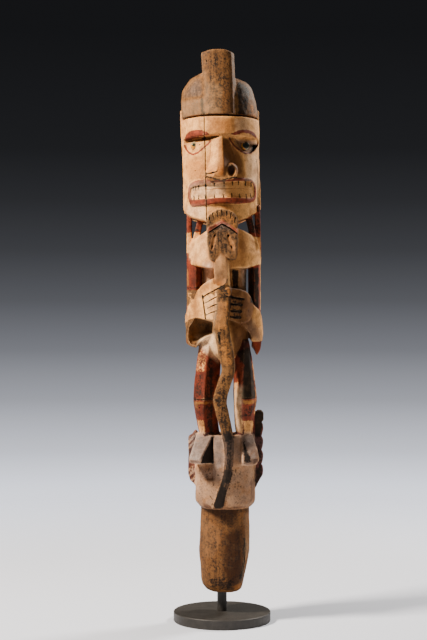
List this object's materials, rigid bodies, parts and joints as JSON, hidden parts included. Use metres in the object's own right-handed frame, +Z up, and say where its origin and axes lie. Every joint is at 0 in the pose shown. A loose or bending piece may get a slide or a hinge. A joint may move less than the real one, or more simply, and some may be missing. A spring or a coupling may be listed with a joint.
{
  "type": "malagan figure",
  "caption": "Tall pierced and painted wood carving of a standing figure that holds a snake, with a helmet crest, held up on a steel rod with a round foot.",
  "frame": {"origin": "centre of the disc's underside, on the floor", "axes": "+Z up along the rod and the log, -Y the way the figure faces, +X to the right of someone who looks at its face"},
  "size_m": [0.242, 0.242, 1.4116],
  "materials": {
    "painted_wood": "dry weathered wood with worn lime white, red ochre and black paint",
    "shell": "polished shell",
    "dark_steel": "dark brown-black waxed steel"
  },
  "bodies": {
    "root": {"carved_figure": "painted_wood", "left_eye_shell": "shell", "right_eye_shell": "shell", "stand_rod": "dark_steel", "stand_disc": "dark_steel"}
  },
  "joints": []
}
